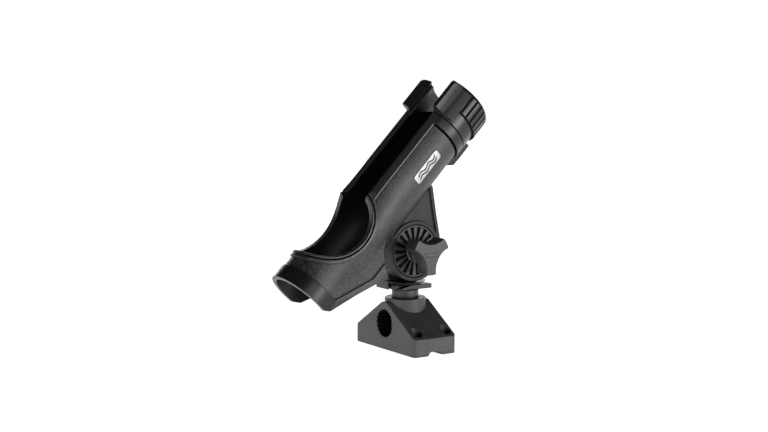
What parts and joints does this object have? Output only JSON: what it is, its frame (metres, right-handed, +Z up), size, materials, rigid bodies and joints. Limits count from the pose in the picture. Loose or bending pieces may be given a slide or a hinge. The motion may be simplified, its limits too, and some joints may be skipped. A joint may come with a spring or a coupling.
{
  "type": "fishing rod holder",
  "caption": "Open cradle rod holder with a turning lock ring, toothed tilt pivot with knob, lift-out splined post and screw-down deck mount.",
  "frame": {"origin": "centre of the mount's underside, between its four screw holes", "axes": "+Z up, +X the level heading of the rod from butt to tip, -Y the knob's side"},
  "size_m": [0.1862, 0.0844, 0.2128],
  "materials": {
    "moulded_nylon": "moulded, lightly textured",
    "cradle_nylon": "textured panels with smoother rims",
    "ring_nylon": "satin",
    "knob_nylon": "satin",
    "plate": "silver label",
    "stainless": "satin",
    "brass": "machined"
  },
  "bodies": {
    "mount": {"mount_base": "moulded_nylon"},
    "post": {"gear_post": "moulded_nylon", "pivot_bolt": "stainless"},
    "lever": {"lock_lever": "moulded_nylon"},
    "cradle": {"cradle": "cradle_nylon", "gear_hub": "moulded_nylon", "name_plate": "plate"},
    "ring": {"lock_ring": "ring_nylon"},
    "washer": {"knob_washer": "stainless"},
    "knob": {"knob": "knob_nylon", "knob_insert": "brass"}
  },
  "joints": [
    {"name": "post_lift", "type": "slide", "parent": "mount", "child": "post", "axis": [0, 0, 1], "range_m": [0, 0.036]},
    {"name": "lever_swing", "type": "hinge", "parent": "post", "child": "lever", "pos_m": [0, 0, 0.049], "axis": [0, 0, 1], "range_deg": [-75, 0]},
    {"name": "cradle_tilt", "type": "hinge", "parent": "post", "child": "cradle", "pos_m": [0, 0, 0.0788], "axis": [0, -1, 0], "range_deg": [-75, 28]},
    {"name": "ring_turn", "type": "hinge", "parent": "cradle", "child": "ring", "pos_m": [0.04022, 0, 0.18649], "axis": [0.7009, 0, 0.7133], "range_deg": [0, 92]},
    {"name": "knob_advance", "type": "slide", "parent": "post", "child": "washer", "axis": [0, -1, 0], "range_m": [0, 0.0026]},
    {"name": "knob_turn", "type": "hinge", "parent": "washer", "child": "knob", "pos_m": [0, -0.03, 0.0788], "axis": [0, -1, 0], "range_deg": [0, 720]}
  ],
  "couplings": [
    {"joint": "knob_advance", "follows": "knob_turn", "m_per_rad": 0.00019894}
  ]
}
